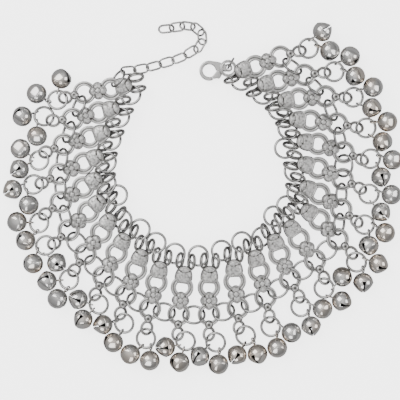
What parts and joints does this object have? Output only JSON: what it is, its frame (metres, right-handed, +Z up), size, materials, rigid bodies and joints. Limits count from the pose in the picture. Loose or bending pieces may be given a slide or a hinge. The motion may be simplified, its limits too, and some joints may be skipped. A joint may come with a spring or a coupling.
{
  "type": "bell anklet",
  "caption": "Fringe anklet of linked stamped metal plates with round bells on drop rings, a hook clasp with a sprung lever and an extender chain, lying open.",
  "frame": {"origin": "centre of the whole anklet's outline, on the surface that it lies on", "axes": "+Z up, +X to the right and +Y toward the open side of the loop, where the clasp and the extender are"},
  "size_m": [0.1556, 0.138, 0.008],
  "materials": {
    "stamped_silver": "satin, antiqued silver plate with dark recesses and engraved lines",
    "wire_silver": "bright silver-plated wire, lightly worn",
    "bell_nickel": "polished nickel plate, slightly warm on some bells",
    "clasp_nickel": "polished nickel plate",
    "pellet_iron": "plain iron shot"
  },
  "bodies": {
    "anklet": {"strand_01": "stamped_silver", "strand_02": "stamped_silver", "strand_03": "stamped_silver", "strand_04": "stamped_silver", "strand_05": "stamped_silver", "strand_06": "stamped_silver", "strand_07": "stamped_silver", "strand_08": "stamped_silver", "strand_09": "stamped_silver", "strand_10": "stamped_silver", "strand_11": "stamped_silver", "strand_12": "stamped_silver", "strand_13": "stamped_silver", "strand_14": "stamped_silver", "strand_15": "stamped_silver", "strand_16": "stamped_silver", "strand_17": "stamped_silver", "strand_18": "stamped_silver", "strand_19": "stamped_silver", "strand_20": "stamped_silver", "strand_21": "stamped_silver", "strand_22": "stamped_silver", "strand_23": "stamped_silver", "strand_24": "stamped_silver", "bells_01": "bell_nickel", "bells_02": "bell_nickel", "bells_03": "bell_nickel", "bells_04": "bell_nickel", "bells_05": "bell_nickel", "bells_06": "bell_nickel", "bells_07": "bell_nickel", "bells_08": "bell_nickel", "bells_09": "bell_nickel", "bells_10": "bell_nickel", "bells_11": "bell_nickel", "bells_12": "bell_nickel", "bells_13": "bell_nickel", "bells_14": "bell_nickel", "bells_15": "bell_nickel", "bells_16": "bell_nickel", "bells_17": "bell_nickel", "bells_18": "bell_nickel", "bells_19": "bell_nickel", "bells_20": "bell_nickel", "bells_21": "bell_nickel", "bells_22": "bell_nickel", "bells_23": "bell_nickel", "bells_24": "bell_nickel", "bell_pellets": "pellet_iron", "inner_rings": "wire_silver", "outer_rings": "wire_silver", "end_jump_ring": "wire_silver", "extender_chain": "wire_silver", "clasp_ring": "wire_silver", "clasp_body": "clasp_nickel", "clasp_pin": "clasp_nickel"},
    "clasp_lever": {"clasp_lever": "clasp_nickel"}
  },
  "joints": [
    {"name": "clasp_lever_hinge", "type": "hinge", "parent": "anklet", "child": "clasp_lever", "pos_m": [0.00747, 0.05031, 0.0015], "axis": [0, 0, -1], "range_deg": [0, 25], "stiffness_Nm_per_rad": 0.01, "springref_deg": -11.46}
  ]
}
